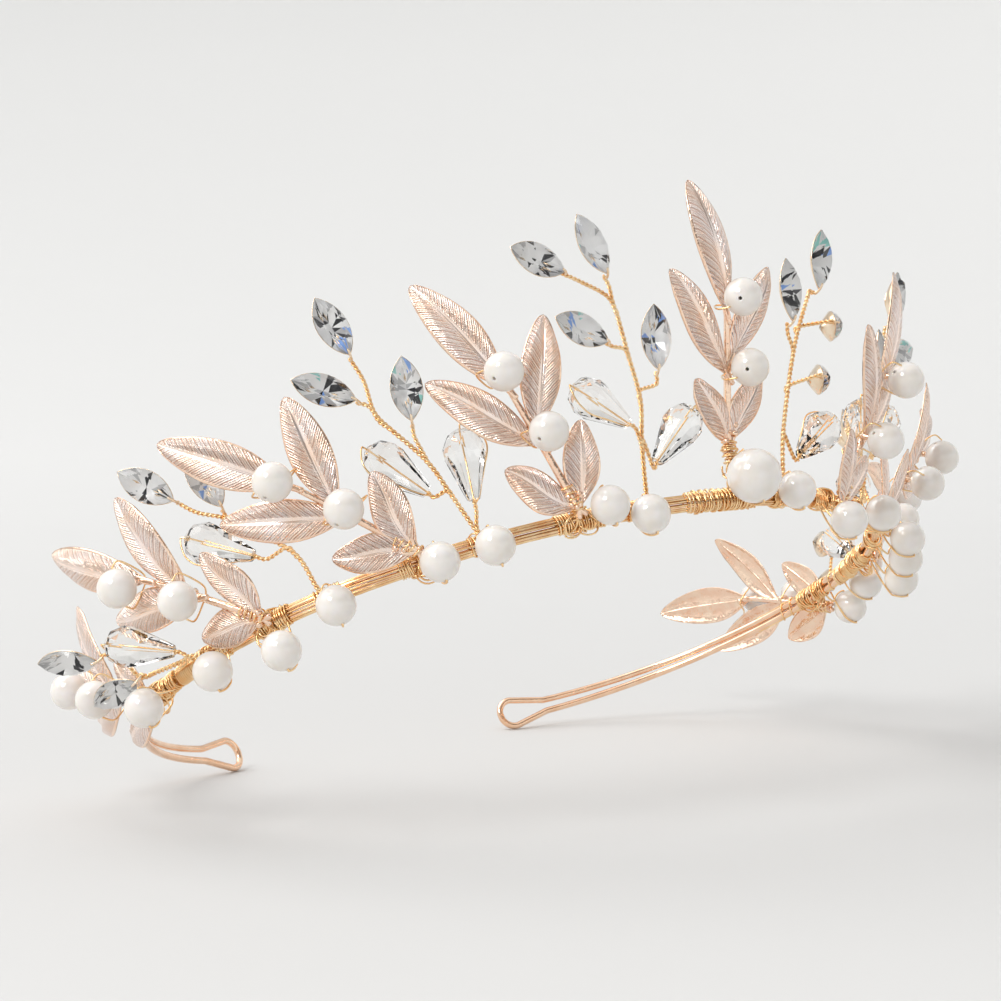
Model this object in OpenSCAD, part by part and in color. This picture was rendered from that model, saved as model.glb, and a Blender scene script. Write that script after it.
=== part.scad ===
// Bridal tiara: a sprung wire headband that carries nine cast leaf sprays, eight crystal
// sprigs on twisted wire, and a row of pearls that turn on wires along the front of the band.
// Millimetres. +Z is up as the tiara is worn, the front faces -Y, and the origin is the
// middle of the head opening. The band lies in a plane that drops towards the back.

/* [Headband] */
// Slope of the band from the forehead down to the back, degrees
band_slope = 29.2; // [20:0.1:35]
// Diameter of the headband wire
rail_d = 1.2; // [1:0.05:1.25]
// Distance between the upper and the lower run of the headband wire
rail_gap = 1.3; // [1.26:0.01:1.4]
// Distance from the front of the band back to the middle of the head opening
seat_depth = 54; // [50:0.5:58]
// Middle radius of the loop at each end
loop_r = 2.5; // [2.2:0.1:3]
// Angle at which the two runs open into the end loop, degrees
loop_flare = 20; // [15:1:30]

/* [Fine wire] */
// Diameter of the wires laid along the front of the band
strand_d = 0.3; // [0.25:0.05:0.3]
// Number of wires laid along the front of the band
strand_count = 6; // [3:1:6]
// Distance along the band that the laid wires reach on each side
strand_reach = 104; // [98:1:106]
// Diameter of the lashing wire
lash_d = 0.3; // [0.2:0.05:0.3]
// Middle radius of a lashing turn
lash_r = 1.6; // [1.58:0.01:1.65]
// Diameter of the wire that a band pearl turns on
pin_d = 0.4; // [0.3:0.05:0.4]

/* [Pearls] */
// Diameter of the pearl at the front of the band
big_pearl_d = 8.5; // [8:0.1:8.8]
// Diameter of the other pearls
pearl_d = 6; // [5.5:0.1:6]
// Distance from the band out to the middle of a band pearl
pearl_out = 4.8; // [4.8:0.1:5]
// Radial clearance between a band pearl and its wire
pearl_play = 0.05; // [0.03:0.01:0.08]

/* [Leaves] */
// Thickness of a cast leaf
leaf_t = 0.8; // [0.6:0.1:1]
// Radius that a leaf is curled to along its length
leaf_curl = 34; // [28:1:60]
// Diameter of the cast stem
stem_d = 1.4; // [1.2:0.1:1.6]

/* [Crystals] */
// Length of a pointed oval crystal
crystal_l = 10; // [9:0.5:11]
// Width of a pointed oval crystal
crystal_w = 4.8; // [4:0.1:5]
// Length of a drop bead
drop_l = 11; // [10:0.5:12]
// Diameter of a drop bead at its widest
drop_d = 6.4; // [6:0.1:6.8]
// Diameter of the twisted wire of a sprig
twist_d = 0.8; // [0.6:0.1:0.9]

/* [Hidden] */
// Radius and length of each arc of half the headband, from the front to the back
BAND = [[100, 30], [69, 30], [44.5, 95]];

// Leaf sprays on each side, from the front: place along the band, height, distance out,
// then the angle away from the front, the lean outwards and the twist
SPRAY_CENTRE = [-4, 9, 1.5, 0, 27, 0];
SPRAY_LEFT = [[29, 1.5, 2.6, 16, 10, -9], [54, 1.5, 2.6, 43, 9, -9],
              [77.5, 0.5, 3.1, 49, 2, -23], [104.5, -3, 2.6, 54, -7, -11]];
SPRAY_RIGHT = [[27, -2, 2.6, 13, 35, -9], [54, 0, 2.6, 44, 36, 2],
               [77, 0, 3.3, 35, 40, 28], [95, -2.5, 2.6, 61, 0, 6]];

// The five leaves of a spray: base x, y, z, tip x, y, z and width
LEAVES = [[0.5, 20, 0.6, 4.5, 41, -3.5, 6.8], [0.3, 10.5, 0.5, 10.5, 27, -2, 6.4],
          [0.2, 12.5, 0.5, -10.5, 27.5, 0, 6.4], [0.2, -0.3, 0.2, 7, 10, 0, 5.8],
          [-0.2, -0.3, 0.2, -7, 11, 1, 5.8]];
// Where the two pearls of a spray sit, and how far in front of the stem
SPRAY_PEARLS = [[1.2, 22.6, 4.6], [-0.3, 11.7, 4.6]];

// Band pearls on each side, from the front: place along the band and height
PEARLS_LEFT = [[19, -2.5], [25, 0], [43.5, -2], [51.5, -2],
               [66.5, -3], [75.5, -6], [86.5, -4], [99.5, -3.5]];
PEARLS_RIGHT = [[12, -1], [23.5, -6], [38.5, -3.5], [55, -5],
                [68, -5], [74, -6.7], [85.5, -2.5], [91.5, -4.5]];
// The last pearl on the left stands further out, in front of its leaves
LAST_LEFT_OUT = 6.8;
// The large pearl: place along the band and height, then the distance out
BIG_PEARL = [1.5, 1];
BIG_PEARL_OUT = 6.2;

// Sprigs on each side: place along the band, lean outwards and which of the shapes below
SPRIGS_LEFT = [[16.5, 20, 0], [44, 6, 1], [68, 3, 2], [91, 45, 3]];
SPRIGS_RIGHT = [[13, 20, 4], [40, 24, 1], [66, 8, 2], [82, 24, 3]];
// The bends of each stem, from the band to its fork
STEMS = [[[0, 1.3], [-0.5, 9], [-1.5, 16], [-0.5, 23], [0.5, 30]],
         [[0.4, 1.3], [2.5, 8], [4.5, 14], [8.5, 20.5]],
         [[0.8, 1.3], [2.3, 7.5], [7.5, 13.5], [9, 15]],
         [[0.8, 1.2], [3, 1.2], [9.2, 2.2]],
         [[0, 1.3], [1, 8.5], [3.5, 16.5], [5.7, 22], [7.7, 26.2], [11.7, 32.6]]];
// Pointed oval crystals of each sprig: middle x, y, direction, twist, the bend it grows from
// and how far it turns back
CRYSTALS = [[[14, 38.5, 64, 0, 4, 0], [3.8, 40, 23, 0, 4, 0], [8, 27.5, 63, 0, 3, 0],
             [-5.7, 25, -6, 15, 2, 0]],
            [[12, 37, 14, 0, 3, 0], [16.2, 28, 57, 0, 3, 0], [4, 25, -9, 10, 2, 0]],
            [[20, 25.5, 42, 0, 3, 0], [11.6, 22.9, 13, -20, 3, 0]],
            [[17.5, 11.8, 60, 0, 2, 0], [16, 3.2, 88, 0, 2, 0]],
            [[14, 38, 12, 0, 5, 0], [4.6, 32.5, -3, 0, 3, 0], [15, 27.2, 90, 0, 4, 45],
             [10.2, 18.3, 90, 0, 2, 45]]];
// Drop beads of each sprig: middle x, y, direction and the bend it grows from
DROPS = [[[6, 16, 54, 1], [-7, 10, -49, 1]],
         [[9.2, 13.7, 38, 1], [-1.2, 11.9, -7, 0]],
         [[12.7, 12.9, 54, 1]],
         [[6.3, 6.8, 50, 0]],
         [[10.3, 9.1, 59, 1]]];

$fn = 48;

// Angle that an arc of half the headband turns through
function arc_turn(i, s) = s / BAND[i][0] * 180 / PI;

// Place along the band: x, y in the band plane and the direction, at distance s from the front
function band_at(s, i = 0, x = 0, y = 0, a = 0) =
    let (last = i == len(BAND) - 1 || s <= BAND[i][1],
         r = BAND[i][0],
         b = a + arc_turn(i, last ? s : BAND[i][1]),
         nx = x + r * (sin(b) - sin(a)),
         ny = y + r * (cos(a) - cos(b)))
    last ? [nx, ny, b] : band_at(s - BAND[i][1], i + 1, nx, ny, b);

function band_length(i = 0) = i == len(BAND) ? 0 : BAND[i][1] + band_length(i + 1);
function arc_start(i) = i == 0 ? 0 : arc_start(i - 1) + BAND[i - 1][1];
function clamp(v, limit) = max(-limit, min(limit, v));

// Puts its children in the plane of the band, with the front of the band at the origin
module band_plane() rotate([-band_slope, 0, 0]) translate([0, -seat_depth, 0]) children();

// Puts its children on the band: X along the band and away from the front, Y inwards, Z up
module station(side, s) {
    p = band_at(s);
    band_plane() mirror([side < 0 ? 1 : 0, 0, 0]) translate([p[0], p[1], 0]) rotate(p[2]) children();
}

// Turns a flat piece to stand on the band: its Y up and its Z outwards
module standing(height, out, angle, lean, twist) {
    translate([0, -out, height]) rotate([90 + lean, 0, 0]) rotate([0, 0, -angle])
        rotate([0, -twist, 0]) children();
}

// A straight round rod between two points
module rod(p, q, d) {
    v = q - p;
    l = norm(v);
    translate(p) rotate([0, acos(v[2] / l), atan2(v[1], v[0])]) rotate(25) cylinder(h = l, d = d);
}

// The full round where two lengths of wire meet
module bead(d) rotate([35, 25, 15]) sphere(d = d);

// A bent round wire through a list of points, with a full round at each bend
module wire(points, d) {
    for (i = [0:len(points) - 2]) rod(points[i], points[i + 1], d);
    if (len(points) > 2) for (i = [1:len(points) - 2]) translate(points[i]) bead(d * 1.1);
}

// A ring of wire about the X axis
module turn(r, d) rotate([0, 90, 0]) rotate_extrude() translate([r, 0]) circle(d = d);

// A round wire that follows the band between two places, off to one side of its middle line
module along_band(from, to, out, height, d) {
    for (i = [0:len(BAND) - 1]) {
        s0 = max(from, arc_start(i));
        s1 = min(to, arc_start(i) + BAND[i][1]);
        if (s1 > s0) {
            p = band_at(s0);
            turned = arc_turn(i, s1 - s0);
            both = i == 0 && from == 0;
            translate([p[0] - BAND[i][0] * sin(p[2]), p[1] + BAND[i][0] * cos(p[2]), height])
                rotate(p[2] - 90 - (both ? turned : 0))
                rotate_extrude(angle = both ? 2 * turned : turned, $fn = 120)
                translate([BAND[i][0] + out, 0]) circle(d = d, $fn = 24);
            if (i > 0)
                translate([p[0] + out * sin(p[2]), p[1] - out * cos(p[2]), height]) bead(d * 1.02, $fn = 24);
        }
    }
}

module both_sides() {
    children();
    mirror([1, 0, 0]) children();
}

// The teardrop loop that joins the two runs of the headband wire at each end
module end_loop() {
    knee = [0, 0, rail_gap / 2];
    rise = loop_r * cos(loop_flare) - rail_gap / 2;
    touch = [rise / tan(loop_flare), 0, loop_r * cos(loop_flare)];
    middle = touch[0] + loop_r * sin(loop_flare);
    for (m = [0, 1]) mirror([0, 0, m]) {
        rod(knee, touch, rail_d);
        translate(knee) bead(rail_d * 1.02);
    }
    translate([middle, 0, 0]) rotate([90, 0, 0]) rotate(-90 - loop_flare)
        rotate_extrude(angle = 180 + 2 * loop_flare) translate([loop_r, 0]) circle(d = rail_d);
}

// One wire bent into the two runs of the band, with a loop at each end
module headband_wire() color("rosybrown") {
    for (z = [-1, 1]) band_plane() {
        along_band(0, BAND[0][1], 0, z * rail_gap / 2, rail_d);
        both_sides() along_band(BAND[0][1], band_length(), 0, z * rail_gap / 2, rail_d);
    }
    for (side = [-1, 1]) station(side, band_length()) end_loop();
}

// Fine wires laid side by side along the front of the band
module band_strands() color("goldenrod") {
    out = rail_d / 2 + strand_d / 2 + 0.02;
    for (i = [0:strand_count - 1]) {
        height = (i - (strand_count - 1) / 2) * 0.4;
        band_plane() {
            along_band(0, BAND[0][1], out, height, strand_d);
            both_sides() along_band(BAND[0][1], strand_reach, out, height, strand_d);
        }
    }
}

module lash(side, s) station(side, s) translate([0, -0.1, 0]) turn(lash_r, lash_d);

// Turns of wire that bind the sprays and sprigs to the band, and close the ends of the bundle
module lashings() color("orange") {
    spray_turns = [-2.4, -1.9, -1.4, 1.4, 1.9, 2.4];
    sprig_turns = [-1.8, -1.3, 1.3, 1.8];
    for (t = spray_turns) {
        lash(1, 4 + t);
        for (spray = SPRAY_LEFT) lash(-1, spray[0] + t);
        for (spray = SPRAY_RIGHT) lash(1, spray[0] + t);
    }
    for (t = sprig_turns) {
        for (sprig = SPRIGS_LEFT) lash(-1, sprig[0] + t);
        for (i = [0:2]) lash(1, SPRIGS_RIGHT[i][0] + t);
    }
    // a close coil, which also binds the last sprig on the right, and some open turns
    for (i = [0:8]) {
        lash(-1, 93.2 + 0.4 * i);
        lash(1, 81 + 0.4 * i);
    }
    for (i = [0:4]) {
        lash(-1, 108.5 + 1.1 * i);
        lash(1, 99 + 1.1 * i);
    }
}

// The wire that holds a band pearl: out, through the pearl and back behind it
module pearl_wire(out, height, d) {
    near = rail_d / 2 + strand_d + pin_d / 2 + 0.05;
    for (end = [-1, 1]) {
        knee = height + end * (d / 2 - 0.1);
        foot = clamp(knee, 1.1);
        wire([[0, -out, height], [0, -out, height + end * (d / 2 + 0.7)], [end * 0.3, -near - 0.1, knee],
              [end * 0.3, -near, knee == foot ? foot - end * 0.2 : foot]], pin_d);
    }
}

function left_out(i) = i == len(PEARLS_LEFT) - 1 ? LAST_LEFT_OUT : pearl_out;

module pearl_wires() color("gold") {
    station(1, BIG_PEARL[0]) pearl_wire(BIG_PEARL_OUT, BIG_PEARL[1], big_pearl_d);
    for (i = [0:7]) {
        station(-1, PEARLS_LEFT[i][0]) pearl_wire(left_out(i), PEARLS_LEFT[i][1], pearl_d);
        station(1, PEARLS_RIGHT[i][0]) pearl_wire(pearl_out, PEARLS_RIGHT[i][1], pearl_d);
    }
}

// A pearl drilled through for its wire
module drilled_pearl(d) color("ivory") difference() {
    sphere(d = d, $fn = 64);
    cylinder(h = d + 1, d = pin_d + 2 * pearl_play, center = true);
}

module band_pearl(side, s, height, out, d) station(side, s) translate([0, -out, height]) drilled_pearl(d);

// A flat pointed oval, from the origin along Y
module pointed_oval(l, w) {
    r = (l * l + w * w) / (4 * w);
    intersection() {
        translate([r - w / 2, l / 2]) circle(r);
        translate([w / 2 - r, l / 2]) circle(r);
    }
}

// A leaf from its base to its tip, curled along its length
module leaf(base, tip, w) {
    v = tip - base;
    l = norm(v);
    sag = l * l / (8 * leaf_curl);
    translate(base) rotate([0, 0, -atan2(v[0], v[1])]) rotate([asin(v[2] / l), 0, 0]) intersection() {
        linear_extrude(height = 8, center = true) pointed_oval(l, w, $fn = 128);
        translate([0, l / 2, sag - leaf_curl]) rotate([0, 90, 0]) difference() {
            cylinder(r = leaf_curl + leaf_t / 2, h = 20, center = true, $fn = 180);
            cylinder(r = leaf_curl - leaf_t / 2, h = 22, center = true, $fn = 180);
        }
    }
}

// One casting: five leaves on a stem, with a peg for each pearl
module leaf_spray(side, p) color("pink") station(side, p[0]) standing(p[1], p[2], p[3], p[4], p[5]) {
    wire([[0, -0.5, 0], [0.2, 12, 0.3], [0.5, 22, 0.5]], stem_d);
    for (f = LEAVES) leaf([f[0], f[1], f[2]], [f[3], f[4], f[5]], f[6]);
    for (q = SPRAY_PEARLS) translate([q[0], q[1], 0]) cylinder(h = q[2] - 1, d = 1);
}

// The post that carries the centre spray above the band
module centre_post() color("pink") {
    p = SPRAY_CENTRE;
    station(-1, p[0]) wire([[0, -0.9, 1.9], [0, -0.9, p[1] - 1.5], [0, -p[2], p[1]]], stem_d);
}

// The two pearls of a spray, each with a blind hole for its peg
module spray_pearls(side, p) color("ivory") station(side, p[0]) standing(p[1], p[2], p[3], p[4], p[5])
    for (q = SPRAY_PEARLS) translate(q) difference() {
        sphere(d = pearl_d, $fn = 64);
        translate([0, 0, -pearl_d]) cylinder(h = pearl_d - 0.9, d = 1.1);
    }

// Puts its children on a sprig, where a crystal lies: its length along Y
module on_sprig(c) translate([c[0], c[1], 0]) rotate([0, c[5], 0]) rotate([0, 0, -c[2]])
    rotate([0, c[3], 0]) translate([0, -crystal_l / 2, 0]) children();

// Where a wire ends below a crystal or a bead, at that distance from its middle
function foot_of(c, l, back = 0) =
    [c[0], c[1], 0] - l * [sin(c[2]) * cos(back), cos(c[2]), -sin(c[2]) * sin(back)];

module sprig(side, p) station(side, p[0]) standing(0, 1.5, 0, p[1], 0) children();

// Twisted wire of a sprig: the stem, a branch to each crystal and a wire through each bead
module sprig_wire(side, p) color("gold") sprig(side, p) {
    bends = [for (q = STEMS[p[2]]) [q[0], q[1], 0]];
    wire(bends, twist_d);
    for (c = CRYSTALS[p[2]]) rod(bends[c[4]], foot_of(c, crystal_l / 2 + 0.7, c[5]), twist_d);
    for (c = DROPS[p[2]]) {
        foot = foot_of(c, drop_l / 2 + 0.45);
        rod(bends[c[3]], foot, twist_d);
        tip = foot_of(c, -drop_l / 2 - 0.55);
        rod(foot, tip, pin_d);
        translate(tip) sphere(d = 1);
    }
    translate(bends[len(bends) - 1]) bead(twist_d * 1.1);
}

// A pointed oval crystal: flat back and domed front
module crystal(l, w) intersection() {
    translate([0, 0, 0.4]) linear_extrude(height = 3) pointed_oval(l, w, $fn = 128);
    translate([0, l / 2, -0.6]) rotate([90, 0, 0]) cylinder(r = 3.4, h = l + 2, center = true);
}

module crystals(side, p) color("lightcyan") sprig(side, p) for (c = CRYSTALS[p[2]])
    on_sprig(c) crystal(crystal_l, crystal_w);

// A slab that is longer and wider than a crystal by the given amounts
module cup_slab(longer, wider, from, height) {
    translate([0, -longer / 2, from]) linear_extrude(height = height)
        pointed_oval(crystal_l + longer, crystal_w + wider, $fn = 128);
}

// The metal cup behind each crystal
module crystal_cups(side, sprigs) color("gold") for (p = sprigs) sprig(side, p)
    for (c = CRYSTALS[p[2]]) on_sprig(c) difference() {
        cup_slab(0.5, 0.4, -0.1, 1.1);
        cup_slab(0.1, 0.1, 0.3, 2);
    }

// A drop bead, narrow at its foot, drilled along its length
module drop(l, d) {
    ball = l - d / 2;
    rotate([-90, 0, 0]) rotate_extrude() polygon(concat(
        [for (a = [-90:15:60]) [d / 2 * cos(a), ball - d / 2 * sin(a)]],
        [[1.1, 0.3], [0.9, 0], [0.3, 0], [0.3, l]]));
}

module drops(side, p) color("azure") sprig(side, p) for (c = DROPS[p[2]])
    translate([c[0], c[1], 0]) rotate([0, 0, -c[2]]) translate([0, -drop_l / 2, 0]) drop(drop_l, drop_d);

headband_wire();
band_strands();
lashings();
pearl_wires();
union() {  // leaf_spray_centre
    leaf_spray(-1, SPRAY_CENTRE);
    centre_post();
}
band_pearl(1, BIG_PEARL[0], BIG_PEARL[1], BIG_PEARL_OUT, big_pearl_d);  // pearl_centre
spray_pearls(-1, SPRAY_CENTRE);  // spray_pearls_centre
for (p = SPRAY_LEFT) spray_pearls(-1, p);  // spray_pearls_left
for (p = SPRAY_RIGHT) spray_pearls(1, p);  // spray_pearls_right
crystal_cups(-1, SPRIGS_LEFT);  // crystal_cups_left
crystal_cups(1, SPRIGS_RIGHT);  // crystal_cups_right
for (i = [1:4]) {
    leaf_spray(-1, SPRAY_LEFT[i - 1]);
    leaf_spray(1, SPRAY_RIGHT[i - 1]);
    sprig_wire(-1, SPRIGS_LEFT[i - 1]);
    sprig_wire(1, SPRIGS_RIGHT[i - 1]);
    crystals(-1, SPRIGS_LEFT[i - 1]);
    crystals(1, SPRIGS_RIGHT[i - 1]);
    drops(-1, SPRIGS_LEFT[i - 1]);
    drops(1, SPRIGS_RIGHT[i - 1]);
}
for (i = [1:8]) {
    band_pearl(-1, PEARLS_LEFT[i - 1][0], PEARLS_LEFT[i - 1][1], left_out(i - 1), pearl_d);
    band_pearl(1, PEARLS_RIGHT[i - 1][0], PEARLS_RIGHT[i - 1][1], pearl_out, pearl_d);
}
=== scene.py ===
import math
import random

import bpy
import numpy as np
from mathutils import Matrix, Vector


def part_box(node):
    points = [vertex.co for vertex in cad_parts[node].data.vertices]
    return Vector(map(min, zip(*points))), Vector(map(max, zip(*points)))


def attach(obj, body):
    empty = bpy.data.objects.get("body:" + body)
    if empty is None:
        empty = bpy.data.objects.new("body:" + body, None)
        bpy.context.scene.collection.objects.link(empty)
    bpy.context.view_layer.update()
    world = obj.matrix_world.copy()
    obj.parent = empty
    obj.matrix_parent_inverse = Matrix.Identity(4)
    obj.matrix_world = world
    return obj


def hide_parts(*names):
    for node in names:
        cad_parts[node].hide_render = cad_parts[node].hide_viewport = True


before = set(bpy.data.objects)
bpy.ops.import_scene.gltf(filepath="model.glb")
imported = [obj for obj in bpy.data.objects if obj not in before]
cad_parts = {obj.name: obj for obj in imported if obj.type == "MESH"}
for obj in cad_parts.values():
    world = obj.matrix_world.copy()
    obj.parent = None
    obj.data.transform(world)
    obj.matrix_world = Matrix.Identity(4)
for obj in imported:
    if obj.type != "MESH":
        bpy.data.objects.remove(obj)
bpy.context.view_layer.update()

# The driving values of the CAD model, in millimetres and degrees. A mesh is made in millimetres
# and scaled once, when it becomes an object.
METRES = 0.001
BAND_SLOPE = 29.2
SEAT_DEPTH = 54
RAIL_D = 1.2
RAIL_GAP = 1.3
LOOP_R = 2.5
STRAND_D = 0.3
LASH_D = 0.3
PIN_D = 0.4
BIG_PEARL_D = 8.5
PEARL_D = 6
PEARL_OUT = 4.8
PEARL_PLAY = 0.05
LEAF_CURL = 34
CRYSTAL_L = 10
CRYSTAL_W = 4.8
DROP_L = 11
DROP_D = 6.4

# Sizes that only the visual model has
LOOP_FLARE = 17
BARE_ARM_START = 112
STRAND_COUNT = 9
STRAND_REACH = 109
CLOSE_COIL = {-1: 93, 1: 81}
OPEN_COIL = {-1: 108.5, 1: 99}
PEG_BORE_D = 0.55
POST_D = 1.4
BEAD_WIRE_D = 0.28
# Twisted pairs: diameter of each wire, its distance from the middle line, and the pitch
STEM_TWIST = (0.4, 0.21, 1.6)
BRANCH_TWIST = (0.36, 0.185, 1.5)

# Radius and length of each arc of half the band, from the front to the back
BAND = [(100, 30), (69, 30), (44.5, 95)]
BAND_LENGTH = sum(length for radius, length in BAND)

# Leaf sprays: place along the band, height, distance out, angle away from the front, lean, twist
SPRAY_CENTRE = (-4, 9, 1.5, 0, 27, 0)
SPRAYS = {
    -1: [(29, 1.5, 2.6, 16, 10, -9), (54, 1.5, 2.6, 43, 9, -9),
         (77.5, 0.5, 3.1, 49, 2, -23), (104.5, -3, 2.6, 54, -7, -11)],
    1: [(27, -2, 2.6, 13, 35, -9), (54, 0, 2.6, 44, 36, 2),
        (77, 0, 3.3, 35, 40, 28), (95, -2.5, 2.6, 61, 0, 6)],
}
# The five leaves of a spray: base, tip and width
LEAVES = [((0.5, 20, 0.6), (4.5, 41, -3.5), 6.8), ((0.3, 10.5, 0.5), (10.5, 27, -2), 6.4),
          ((0.2, 12.5, 0.5), (-10.5, 27.5, 0), 6.4), ((0.2, -0.3, 0.2), (7, 10, 0), 5.8),
          ((-0.2, -0.3, 0.2), (-7, 11, 1), 5.8)]
SPRAY_PEARLS = [(1.2, 22.6, 4.6), (-0.3, 11.7, 4.6)]
STEM = [(0, -0.5, 0), (0.2, 12, 0.3), (0.5, 22, 0.5)]

# Band pearls: place along the band and height
PEARLS = {
    -1: [(19, -2.5), (25, 0), (43.5, -2), (51.5, -2), (66.5, -3), (75.5, -6), (86.5, -4), (99.5, -3.5)],
    1: [(12, -1), (23.5, -6), (38.5, -3.5), (55, -5), (68, -5), (74, -6.7), (85.5, -2.5), (91.5, -4.5)],
}
LAST_LEFT_OUT = 6.8
BIG_PEARL = (1.5, 1)
BIG_PEARL_OUT = 6.2

# Sprigs: place along the band, lean outwards and which of the shapes below
SPRIGS = {-1: [(16.5, 20, 0), (44, 6, 1), (68, 3, 2), (91, 45, 3)],
          1: [(13, 20, 4), (40, 24, 1), (66, 8, 2), (82, 24, 3)]}
STEMS = [[(0, 1.3), (-0.5, 9), (-1.5, 16), (-0.5, 23), (0.5, 30)],
         [(0.4, 1.3), (2.5, 8), (4.5, 14), (8.5, 20.5)],
         [(0.8, 1.3), (2.3, 7.5), (7.5, 13.5), (9, 15)],
         [(0.8, 1.2), (3, 1.2), (9.2, 2.2)],
         [(0, 1.3), (1, 8.5), (3.5, 16.5), (5.7, 22), (7.7, 26.2), (11.7, 32.6)]]
# Pointed oval crystals: middle, direction, twist, the bend that each grows from and how far it turns back
CRYSTALS = [[(14, 38.5, 64, 0, 4, 0), (3.8, 40, 23, 0, 4, 0), (8, 27.5, 63, 0, 3, 0),
             (-5.7, 25, -6, 15, 2, 0)],
            [(12, 37, 14, 0, 3, 0), (16.2, 28, 57, 0, 3, 0), (4, 25, -9, 10, 2, 0)],
            [(20, 25.5, 42, 0, 3, 0), (11.6, 22.9, 13, -20, 3, 0)],
            [(17.5, 11.8, 60, 0, 2, 0), (16, 3.2, 88, 0, 2, 0)],
            [(14, 38, 12, 0, 5, 0), (4.6, 32.5, -3, 0, 3, 0), (15, 27.2, 90, 0, 4, 45),
             (10.2, 18.3, 90, 0, 2, 45)]]
# Drop beads: middle, direction and the bend that each grows from
DROPS = [[(6, 16, 54, 1), (-7, 10, -49, 1)],
         [(9.2, 13.7, 38, 1), (-1.2, 11.9, -7, 0)],
         [(12.7, 12.9, 54, 1)],
         [(6.3, 6.8, 50, 0)],
         [(10.3, 9.1, 59, 1)]]

SIDE_NAMES = {-1: "left", 1: "right"}


# ---------------------------------------------------------------- places

def move(x, y, z):
    m = np.eye(4)
    m[:3, 3] = x, y, z
    return m


def rotate(axis, degrees):
    c, s = math.cos(math.radians(degrees)), math.sin(math.radians(degrees))
    i, j = {"X": (1, 2), "Y": (2, 0), "Z": (0, 1)}[axis]
    m = np.eye(4)
    m[i, i] = m[j, j] = c
    m[i, j], m[j, i] = -s, s
    return m


def placed(matrix, points):
    return np.asarray(points, float) @ matrix[:3, :3].T + matrix[:3, 3]


def band_at(s):
    """x, y in the band's plane and the direction in degrees, at distance s from the front."""
    x = y = turned = 0.0
    for i, (radius, length) in enumerate(BAND):
        step = s if i == len(BAND) - 1 else min(s, length)
        after = turned + step / radius
        x += radius * (math.sin(after) - math.sin(turned))
        y += radius * (math.cos(turned) - math.cos(after))
        turned = after
        s -= step
    return x, y, math.degrees(turned)


def station(side, s):
    """A place on the band: X along it and away from the front, -Y outwards, Z up."""
    x, y, direction = band_at(s)
    plane = rotate("X", -BAND_SLOPE) @ move(0, -SEAT_DEPTH, 0)
    return plane @ np.diag([side, 1, 1, 1]) @ move(x, y, 0) @ rotate("Z", direction)


def standing(height, out, angle, lean, twist):
    """Turns a flat piece to stand on the band: its Y up and its Z outwards."""
    turned = rotate("X", 90 + lean) @ rotate("Z", -angle) @ rotate("Y", -twist)
    return move(0, -out, height) @ turned


def spray_place(side, spray):
    return station(side, spray[0]) @ standing(*spray[1:])


def sprig_place(side, sprig):
    return station(side, sprig[0]) @ standing(0, 1.5, 0, sprig[1], 0)


def on_sprig(x, y, direction, twist=0, back=0, length=0):
    """Where a bead of that length lies on a sprig, its length along Y."""
    turned = rotate("Y", back) @ rotate("Z", -direction) @ rotate("Y", twist)
    return move(x, y, 0) @ turned @ move(0, -length / 2, 0)


def around_band(side, path):
    """Points beside the band, from a list of (s, out, height)."""
    return np.array([placed(station(side, s), [(0, -out, height)])[0] for s, out, height in path])


# ---------------------------------------------------------------- mesh tools

class Shape:
    """Collects vertices and faces in millimetres, then makes one object of them."""

    def __init__(self):
        self.parts = []

    def add(self, vertices, faces, material=0, **options):
        return self.add_groups(vertices, [(faces, material)], **options)

    def add_groups(self, vertices, groups, smooth=True, uv=None, matrix=None):
        """Faces of several materials, as (faces, material) pairs, that share their vertices."""
        vertices = np.asarray(vertices, float)
        faces, materials = [], []
        for group, material in groups:
            faces += group
            materials += [material] * len(group)
        if matrix is not None:
            vertices = placed(matrix, vertices)
            if np.linalg.det(matrix[:3, :3]) < 0:
                faces = [tuple(reversed(f)) for f in faces]
        uv = np.zeros((len(vertices), 2)) if uv is None else np.asarray(uv, float)
        self.parts.append((vertices, faces, materials, smooth, uv))
        return self

    def make(self, name, materials, slot, body, *nodes):
        mesh = bpy.data.meshes.new(name)
        vertices = np.concatenate([p[0] for p in self.parts]) * METRES
        uvs = np.concatenate([p[4] for p in self.parts])
        faces, indices, smooth, start = [], [], [], 0
        for part in self.parts:
            faces += [tuple(start + k for k in f) for f in part[1]]
            indices += part[2]
            smooth += [part[3]] * len(part[1])
            start += len(part[0])
        mesh.from_pydata(vertices.tolist(), [], faces)
        mesh.polygons.foreach_set("material_index", indices)
        mesh.polygons.foreach_set("use_smooth", smooth)
        corners = np.zeros(len(mesh.loops), int)
        mesh.loops.foreach_get("vertex_index", corners)
        mesh.uv_layers.new(name="UVMap").data.foreach_set("uv", uvs[corners].ravel())
        for m in materials:
            mesh.materials.append(m)
        piece = bpy.data.objects.new(name, mesh)
        bpy.context.scene.collection.objects.link(piece)
        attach(piece, body)
        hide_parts(*nodes)


def unit(v):
    return v / np.linalg.norm(v, axis=-1, keepdims=True)


def curve(points, step):
    """A smooth line through the points (Catmull-Rom), with samples about step apart."""
    p = np.asarray(points, float)
    p = np.vstack([2 * p[0] - p[1], p, 2 * p[-1] - p[-2]])
    samples = []
    for a, b, c, d in zip(p, p[1:], p[2:], p[3:]):
        count = max(2, round(np.linalg.norm(c - b) / step))
        for t in np.arange(count) / count:
            bent = 2 * a - 5 * b + 4 * c - d + t * (3 * (b - c) + d - a)
            samples.append(b + 0.5 * t * (c - a + t * bent))
    samples.append(p[-2])
    return np.array(samples)


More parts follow.
